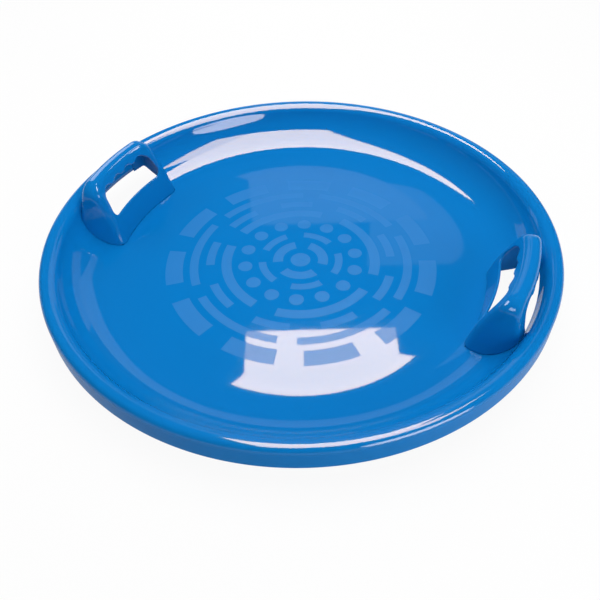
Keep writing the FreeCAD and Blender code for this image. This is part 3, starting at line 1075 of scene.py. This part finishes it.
@dataclass(frozen=True)
class Studio:
    """Floor, lamps and camera, all placed by the camera's own bearing. Lengths are in metres.

    Args:
        mirrors: The piece that alone mirrors the lamps of a role, where one does.
        view: How the camera sees the sled.
        floor_half: Half the floor's width.
        floor_drop: How far the floor lies below the dish.
        floor_grey: Share of the light that the floor gives back.
        floor_white: How much of the floor looks plain white to the camera and to polished surfaces.
        surround: Strength of the light from all round.
        horizon: Steepness of a mirrored ray from which the surround looks dim, and up to which it is white.
    """

    mirrors: dict[Role, bpy.types.Object]
    view: View = View()
    floor_half: float = 6.0
    floor_drop: float = 0.0005
    floor_grey: float = 0.8
    floor_white: float = 0.93
    surround: float = 0.06
    horizon: tuple[float, float] = (0.08, 0.02)

    def spot(self, across: Number, away: Number, up: Number) -> Vector:
        """Return a place in the CAD frame from one to the camera's right, away from it and up."""
        return rotation(self.view.bearing, "Z") @ Vector((across, away, up))

    def lamp(self, lamp: Lamp, role: Role) -> None:
        """Add a soft box.

        Args:
            lamp: What it is like.
            role: What it is for.
        """
        data = bpy.data.lights.new(lamp.name, "AREA")
        data.shape = lamp.shape.value
        data.size, data.size_y = lamp.size
        data.color = lamp.tint
        fill = math.pi / 4 if lamp.shape is Panel.ROUND else 1.0
        data.energy = lamp.radiance * math.prod(lamp.size) * fill * math.pi
        item = placed(lamp.name, data)
        item.location = self.spot(*lamp.centre)
        look = self.spot(*lamp.target) - item.location
        item.rotation_euler = look.to_track_quat("-Z", "Y").to_euler()
        if abs(look.normalized().z) > PARALLEL:
            item.rotation_euler = (0.0, 0.0, math.radians(self.view.bearing))
        item.visible_glossy = role is not Role.LIGHTS
        item.visible_diffuse = role is Role.LIGHTS
        item.visible_camera = False
        if role in self.mirrors:
            mirror = bpy.data.collections.new(f"{lamp.name}_mirror")
            mirror.objects.link(self.mirrors[role])
            item.light_linking.receiver_collection = mirror

    def floor(self) -> None:
        """Add the white floor, which keeps the object's shadow."""
        corners = np.array([(-1, -1, 0), (1, -1, 0), (1, 1, 0), (-1, 1, 0)]) * self.floor_half / MM
        item = mesh_object("studio_floor", Skin(corners, [[0, 1, 2, 3]], np.tile(UP, (4, 1))))
        item.location.z = -self.floor_drop
        made = bpy.data.materials.new("studio_floor")
        graph = Graph(made)
        camera, polished = graph.rays()
        lit = graph.node("ShaderNodeBsdfDiffuse", None, {"Color": (*[self.floor_grey] * 3, 1.0)})
        glow = graph.node("ShaderNodeEmission", None, {"Color": WHITE, "Strength": 1.0})
        surface = graph.mixed(self.floor_white * camera.most(polished), lit, glow)
        graph.node("ShaderNodeOutputMaterial", None, {"Surface": surface})
        item.data.materials.append(made)

    def world(self) -> None:
        """Set a dim surround that looks white to the camera, and to polished surfaces near the horizon."""
        world = bpy.data.worlds.new("studio")
        graph = Graph(world)
        camera, polished = graph.rays()
        ray = graph.node("ShaderNodeTexCoord", output="Generated")
        steep = graph.node("ShaderNodeSeparateXYZ", None, {"Vector": ray}, "Z")
        lights = [graph.node("ShaderNodeBackground", None, {"Color": WHITE, "Strength": strength})
                  for strength in (self.surround, 1.0)]
        surface = graph.mixed(camera.most(polished * steep.rise(*self.horizon)), *lights)
        graph.node("ShaderNodeOutputWorld", None, {"Surface": surface})
        bpy.context.scene.world = world

    def camera(self) -> None:
        """Add the camera at the photograph's angle."""
        view = self.view
        data = bpy.data.cameras.new("camera")
        data.lens = view.lens
        item = placed("camera", data)
        line = rotation(-view.elevation, "X") @ Vector((0.0, -view.distance, 0.0))
        item.location = self.spot(*line) + Vector((0.0, 0.0, view.pivot))
        level = rotation(view.roll, "Z") @ rotation(view.tilt, "X") @ rotation(view.pan, "Y")
        facing = rotation(view.bearing, "Z") @ rotation(90.0 - view.elevation, "X") @ level.transposed()
        item.rotation_euler = facing.to_euler()
        bpy.context.scene.camera = item

    def build(self) -> None:
        """Set up the floor, the lamps, the world and the camera."""
        self.floor()
        self.world()
        for role, lamps in LAMPS.items():
            for lamp in lamps:
                self.lamp(lamp, role)
        self.camera()


# Pieces

@dataclass
class Dish:
    """The moulded dish.

    Args:
        line: Its middle line.
        shape: The handle whose collars it is opened for.
        plastic: Its finish.
        rows: How finely its section is divided.
        segments: Steps round the axis.
        hole_pitch: Mesh size of the collars' holes, in millimetres.
        wall_margin: How close a face's middle lies to a hole's wall to be part of it, in millimetres.
    """

    line: DishLine
    shape: HandleShape
    plastic: Plastic
    rows: Rows = Rows()
    segments: int = 420
    hole_pitch: float = 1.6
    wall_margin: float = 0.1

    def outline(self) -> Pair:
        """Thicken the middle line, from the axis over the rim and back under the floor.

        Returns:
            Rows of radius and height, and rows of the unit normal.
        """
        half = self.line.half
        spots, normals = self.line.sample(self.rows)
        angles = np.linspace(math.pi / 2, -math.pi / 2, self.rows.hem + 2)[1:-1]
        hem = np.stack([np.sin(angles), -np.cos(angles)], axis=1)
        hem_spots = half * hem + (self.line.skirt, self.line.hem_height)
        outline = np.concatenate([spots + half * normals, hem_spots, (spots - half * normals)[::-1]])
        sides = np.concatenate([normals, hem, -normals[::-1]])
        apart = np.linalg.norm(np.diff(outline, axis=0), axis=1) > TINY
        keep = np.concatenate([[True], apart])
        return outline[keep], sides[keep]

    def swept(self, rows: Array) -> Array:
        """Turn rows about the axis.

        Args:
            rows: Rows of radius and height.

        Returns:
            Rows of x, y, z, one ring after the other.
        """
        turn = np.linspace(0, math.tau, self.segments, endpoint=False)
        flat = rows[:, None, :1] * np.stack([np.cos(turn), np.sin(turn)], axis=1)
        tall = np.broadcast_to(rows[:, None, 1:], flat.shape[:2] + (1,))
        return np.concatenate([flat, tall], axis=2).reshape(-1, 3)

    def lathe(self) -> Skin:
        """Turn the outline about the axis.

        Returns:
            The closed skin.
        """
        outline, sides = self.outline()
        # Both ends of the outline are on the axis, so each is one point with a fan round it.
        ends = [(0.0, 0.0, outline[0, 1]), (0.0, 0.0, outline[-1, 1])]
        points = np.concatenate([self.swept(outline[1:-1]), ends])
        normals = np.concatenate([self.swept(sides[1:-1]), [UP, DOWN]])
        here = np.arange(len(points) - len(ends)).reshape(-1, self.segments)
        there = np.roll(here, -1, axis=1)
        quads = np.stack([here[:-1], here[1:], there[1:], there[:-1]], axis=2)
        upper, lower = len(points) - 2, len(points) - 1
        faces = quads.reshape(-1, 4).tolist()
        faces += [[upper, a, b] for a, b in zip(here[0], there[0])]
        faces += [[lower, b, a] for a, b in zip(here[-1], there[-1])]
        return Skin(points, faces, normals)

    def open_for(self, item: bpy.types.Object, cutters: list[bpy.types.Object]) -> None:
        """Cut the collars' holes out of the dish.

        Args:
            item: The dish, which gets the cut mesh.
            cutters: Closed cutters, which are removed.
        """
        for cutter in cutters:
            cut = item.modifiers.new(cutter.name, "BOOLEAN")
            cut.operation, cut.solver, cut.object = "DIFFERENCE", "EXACT", cutter
        bpy.context.view_layer.update()
        seen = item.evaluated_get(bpy.context.evaluated_depsgraph_get())
        mesh = bpy.data.meshes.new_from_object(seen)
        item.modifiers.clear()
        for cutter in cutters:
            bpy.data.objects.remove(cutter)
        whole, item.data = item.data, mesh
        bpy.data.meshes.remove(whole)
        mesh.name = item.name

    def face_out(self, mesh: bpy.types.Mesh) -> None:
        """Give every corner of the cut dish the normal of the surface that its face lies on.

        Args:
            mesh: The cut dish.
        """
        corners = np.zeros(len(mesh.loops), dtype=np.int64)
        mesh.loops.foreach_get("vertex_index", corners)
        points = np.zeros(len(mesh.vertices) * 3)
        mesh.vertices.foreach_get("co", points)
        points = points.reshape(-1, 3) / MM
        sizes = np.array([len(face.vertices) for face in mesh.polygons])
        centres = np.array([face.center[:] for face in mesh.polygons]) / MM
        height = self.line.above(points)
        normals = np.where(height.value[:, None] > 0, height.slope, -height.slope)[corners]
        # The holes are alike on both sides, and each is alike at both ends.
        hole = self.shape.collar_hole
        on_wall = np.repeat(np.abs(hole(np.abs(centres)).value) < self.wall_margin, sizes)
        walls = hole(np.abs(points)).slope * np.sign(points)
        normals = np.where(on_wall[:, None], -walls[corners], normals)
        mesh.shade_smooth()
        mesh.normals_split_custom_set(normals.tolist())

    def build(self) -> bpy.types.Object:
        """Make the dish and open it for the collars.

        Returns:
            The piece.
        """
        item = mesh_object("dish_shell", self.lathe())
        hole = self.shape.skin(self.shape.collar_hole, self.hole_pitch)
        cutters = [mesh_object("right_hole", hole), mesh_object("left_hole", hole.mirrored())]
        self.open_for(item, cutters)
        self.face_out(item.data)
        item.data.materials.append(self.plastic.material())
        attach(item, "root")
        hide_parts("dish")
        return item


@dataclass
class Handles:
    """The two hand grips.

    Args:
        shape: The right one.
        plastic: Their finish.
        pitch: Mesh size in millimetres.
    """

    shape: HandleShape
    plastic: Plastic
    pitch: float = 0.9

    def build(self) -> list[bpy.types.Object]:
        """Make both handles.

        Returns:
            The right and the left piece.
        """
        right = self.shape.skin(self.shape.solid, self.pitch)
        outside = (self.shape.form(right.points).value > -self.shape.sizes.wall / 2).astype(float)
        material = self.plastic.material()
        pieces = []
        for side, skin in (("right", right), ("left", right.mirrored())):
            item = mesh_object(f"{side}_grip", skin)
            item.data.attributes.new(POLISH, "FLOAT", "POINT").data.foreach_set("value", outside)
            item.data.materials.append(material)
            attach(item, "root")
            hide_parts(f"{side}_handle")
            pieces.append(item)
        return pieces


def main() -> None:
    """Build the sled and its studio."""
    logging.basicConfig(level=logging.INFO, format="%(message)s")
    bpy.context.scene.view_settings.view_transform = "Standard"
    line = DishLine(DishSizes())
    shape = HandleShape(HandleSizes(), line)
    blue = (0.002, 0.172, 0.5)
    dish = Dish(line, shape, Plastic("dish_plastic", blue, Marks())).build()
    handles = Handles(shape, Plastic("handle_plastic", blue)).build()
    for piece in (dish, *handles):
        LOG.info("%s: %d faces", piece.name, len(piece.data.polygons))
    roles = (Role.IN_DISH, Role.IN_RIGHT, Role.IN_LEFT)
    Studio(dict(zip(roles, (dish, *handles)))).build()


if __name__ == "__main__":
    main()
